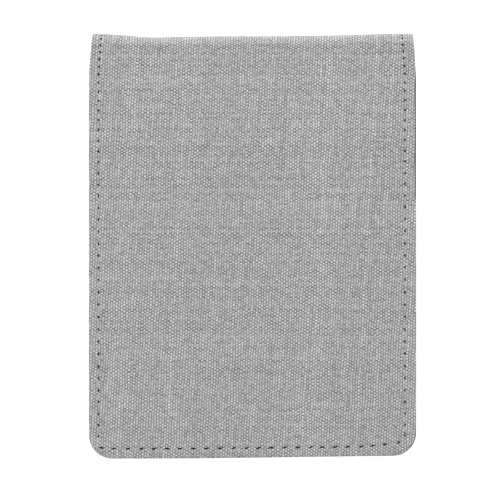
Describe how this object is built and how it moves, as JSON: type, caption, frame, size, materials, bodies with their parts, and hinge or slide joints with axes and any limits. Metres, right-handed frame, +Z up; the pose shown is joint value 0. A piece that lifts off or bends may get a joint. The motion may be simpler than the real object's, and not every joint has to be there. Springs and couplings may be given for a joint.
{
  "type": "tablet keyboard case",
  "caption": "Folding tablet keyboard in a stitched grey fabric case, stored closed: two stiff halves joined by a soft fold, with sprung keys inside.",
  "frame": {"origin": "centre of the underside of the closed case, in the plane of the lower cover", "axes": "+Y along the length, towards the fold; +Z up out of the upper cover; +X towards the space bars, the near side when the keyboard is open"},
  "size_m": [0.105, 0.1364, 0.011],
  "materials": {
    "cover_fabric": "heathered grey plain weave",
    "lining": "very dark smooth lining, dull",
    "stiffener_board": "plain grey board",
    "magnet": "nickel plated",
    "tray": "matt moulded",
    "key_frame": "fine matt moulded",
    "keycap": "fine matt moulded",
    "circuit_board": "green solder mask",
    "dome_sheet": "milky silicone",
    "screw": "plain",
    "bumper": "matt",
    "ribbon_cable": "amber film",
    "connector": "ivory moulded",
    "chip": "moulded",
    "port": "nickel plated",
    "switch": "fine matt",
    "light": "milky light pipe",
    "battery": "foil pouch"
  },
  "bodies": {
    "left_half": {"cover_fabric_left": "cover_fabric", "stiffener_board_left": "stiffener_board", "magnets_left": "magnet", "lining_left": "lining", "ribbon_cable_left": "ribbon_cable", "ribbon_connector_left": "connector", "base_tray_left": "tray", "circuit_board_left": "circuit_board", "dome_sheet_left": "dome_sheet", "key_frame_left": "key_frame", "frame_screws_left": "screw", "bumpers_left": "bumper", "controller_board": "circuit_board", "controller_chip": "chip", "charging_port": "port", "switch_housing": "connector", "status_lights": "light"},
    "spine": {"cover_fabric_spine": "cover_fabric", "lining_spine": "lining", "ribbon_cable_spine": "ribbon_cable"},
    "right_half": {"cover_fabric_right": "cover_fabric", "stiffener_board_right": "stiffener_board", "magnets_right": "magnet", "lining_right": "lining", "ribbon_cable_right": "ribbon_cable", "ribbon_connector_right": "connector", "base_tray_right": "tray", "circuit_board_right": "circuit_board", "dome_sheet_right": "dome_sheet", "key_frame_right": "key_frame", "frame_screws_right": "screw", "bumpers_right": "bumper", "battery": "battery"},
    "keys_number_left": {"keys_number_left": "keycap"},
    "key_tab": {"key_tab": "keycap"},
    "keys_upper_left": {"keys_upper_left": "keycap"},
    "key_caps_lock": {"key_caps_lock": "keycap"},
    "keys_home_left": {"keys_home_left": "keycap"},
    "key_shift_left": {"key_shift_left": "keycap"},
    "keys_lower_left": {"keys_lower_left": "keycap"},
    "keys_bottom_left": {"keys_bottom_left": "keycap"},
    "key_space_left": {"key_space_left": "keycap"},
    "keys_number_right": {"keys_number_right": "keycap"},
    "key_backspace": {"key_backspace": "keycap"},
    "keys_upper_right": {"keys_upper_right": "keycap"},
    "keys_home_right": {"keys_home_right": "keycap"},
    "key_enter": {"key_enter": "keycap"},
    "keys_lower_right": {"keys_lower_right": "keycap"},
    "key_shift_right": {"key_shift_right": "keycap"},
    "key_space_right": {"key_space_right": "keycap"},
    "key_alt_right": {"key_alt_right": "keycap"},
    "key_ctrl_right": {"key_ctrl_right": "keycap"},
    "key_arrow_left": {"key_arrow_left": "keycap"},
    "key_arrow_up": {"key_arrow_up": "keycap"},
    "key_arrow_down": {"key_arrow_down": "keycap"},
    "key_arrow_right": {"key_arrow_right": "keycap"},
    "power_switch": {"power_switch": "switch"}
  },
  "joints": [
    {"name": "lower_bend", "type": "hinge", "parent": "left_half", "child": "spine", "pos_m": [0, 0.0674, 0.0008], "axis": [-1, 0, 0], "range_deg": [0, 90]},
    {"name": "upper_bend", "type": "hinge", "parent": "spine", "child": "right_half", "pos_m": [0, 0.0674, 0.0102], "axis": [-1, 0, 0], "range_deg": [0, 90]},
    {"name": "press_keys_number_left", "type": "slide", "parent": "left_half", "child": "keys_number_left", "axis": [0, 0, -1], "range_m": [0, 0.0009], "stiffness_N_per_m": 3500, "springref_m": -0.0002},
    {"name": "press_key_tab", "type": "slide", "parent": "left_half", "child": "key_tab", "axis": [0, 0, -1], "range_m": [0, 0.0009], "stiffness_N_per_m": 500, "springref_m": -0.0002},
    {"name": "press_keys_upper_left", "type": "slide", "parent": "left_half", "child": "keys_upper_left", "axis": [0, 0, -1], "range_m": [0, 0.0009], "stiffness_N_per_m": 2500, "springref_m": -0.0002},
    {"name": "press_key_caps_lock", "type": "slide", "parent": "left_half", "child": "key_caps_lock", "axis": [0, 0, -1], "range_m": [0, 0.0009], "stiffness_N_per_m": 500, "springref_m": -0.0002},
    {"name": "press_keys_home_left", "type": "slide", "parent": "left_half", "child": "keys_home_left", "axis": [0, 0, -1], "range_m": [0, 0.0009], "stiffness_N_per_m": 2500, "springref_m": -0.0002, "deforming": ["dome_sheet_left"]},
    {"name": "press_key_shift_left", "type": "slide", "parent": "left_half", "child": "key_shift_left", "axis": [0, 0, -1], "range_m": [0, 0.0009], "stiffness_N_per_m": 500, "springref_m": -0.0002},
    {"name": "press_keys_lower_left", "type": "slide", "parent": "left_half", "child": "keys_lower_left", "axis": [0, 0, -1], "range_m": [0, 0.0009], "stiffness_N_per_m": 2500, "springref_m": -0.0002},
    {"name": "press_keys_bottom_left", "type": "slide", "parent": "left_half", "child": "keys_bottom_left", "axis": [0, 0, -1], "range_m": [0, 0.0009], "stiffness_N_per_m": 2000, "springref_m": -0.0002},
    {"name": "press_key_space_left", "type": "slide", "parent": "left_half", "child": "key_space_left", "axis": [0, 0, -1], "range_m": [0, 0.0009], "stiffness_N_per_m": 500, "springref_m": -0.0002},
    {"name": "press_keys_number_right", "type": "slide", "parent": "right_half", "child": "keys_number_right", "axis": [0, 0, 1], "range_m": [0, 0.0009], "stiffness_N_per_m": 3000, "springref_m": -0.0002},
    {"name": "press_key_backspace", "type": "slide", "parent": "right_half", "child": "key_backspace", "axis": [0, 0, 1], "range_m": [0, 0.0009], "stiffness_N_per_m": 500, "springref_m": -0.0002},
    {"name": "press_keys_upper_right", "type": "slide", "parent": "right_half", "child": "keys_upper_right", "axis": [0, 0, 1], "range_m": [0, 0.0009], "stiffness_N_per_m": 3500, "springref_m": -0.0002},
    {"name": "press_keys_home_right", "type": "slide", "parent": "right_half", "child": "keys_home_right", "axis": [0, 0, 1], "range_m": [0, 0.0009], "stiffness_N_per_m": 3000, "springref_m": -0.0002, "deforming": ["dome_sheet_right"]},
    {"name": "press_key_enter", "type": "slide", "parent": "right_half", "child": "key_enter", "axis": [0, 0, 1], "range_m": [0, 0.0009], "stiffness_N_per_m": 500, "springref_m": -0.0002},
    {"name": "press_keys_lower_right", "type": "slide", "parent": "right_half", "child": "keys_lower_right", "axis": [0, 0, 1], "range_m": [0, 0.0009], "stiffness_N_per_m": 2500, "springref_m": -0.0002},
    {"name": "press_key_shift_right", "type": "slide", "parent": "right_half", "child": "key_shift_right", "axis": [0, 0, 1], "range_m": [0, 0.0009], "stiffness_N_per_m": 500, "springref_m": -0.0002},
    {"name": "press_key_space_right", "type": "slide", "parent": "right_half", "child": "key_space_right", "axis": [0, 0, 1], "range_m": [0, 0.0009], "stiffness_N_per_m": 500, "springref_m": -0.0002},
    {"name": "press_key_alt_right", "type": "slide", "parent": "right_half", "child": "key_alt_right", "axis": [0, 0, 1], "range_m": [0, 0.0009], "stiffness_N_per_m": 500, "springref_m": -0.0002},
    {"name": "press_key_ctrl_right", "type": "slide", "parent": "right_half", "child": "key_ctrl_right", "axis": [0, 0, 1], "range_m": [0, 0.0009], "stiffness_N_per_m": 500, "springref_m": -0.0002},
    {"name": "press_key_arrow_left", "type": "slide", "parent": "right_half", "child": "key_arrow_left", "axis": [0, 0, 1], "range_m": [0, 0.0009], "stiffness_N_per_m": 500, "springref_m": -0.0002},
    {"name": "press_key_arrow_up", "type": "slide", "parent": "right_half", "child": "key_arrow_up", "axis": [0, 0, 1], "range_m": [0, 0.0009], "stiffness_N_per_m": 500, "springref_m": -0.0002},
    {"name": "press_key_arrow_down", "type": "slide", "parent": "right_half", "child": "key_arrow_down", "axis": [0, 0, 1], "range_m": [0, 0.0009], "stiffness_N_per_m": 500, "springref_m": -0.0002},
    {"name": "press_key_arrow_right", "type": "slide", "parent": "right_half", "child": "key_arrow_right", "axis": [0, 0, 1], "range_m": [0, 0.0009], "stiffness_N_per_m": 500, "springref_m": -0.0002},
    {"name": "switch_slide", "type": "slide", "parent": "left_half", "child": "power_switch", "axis": [0, 1, 0], "range_m": [0, 0.0016]}
  ],
  "couplings": [
    {"joint": "upper_bend", "follows": "lower_bend", "ratio": 1}
  ]
}
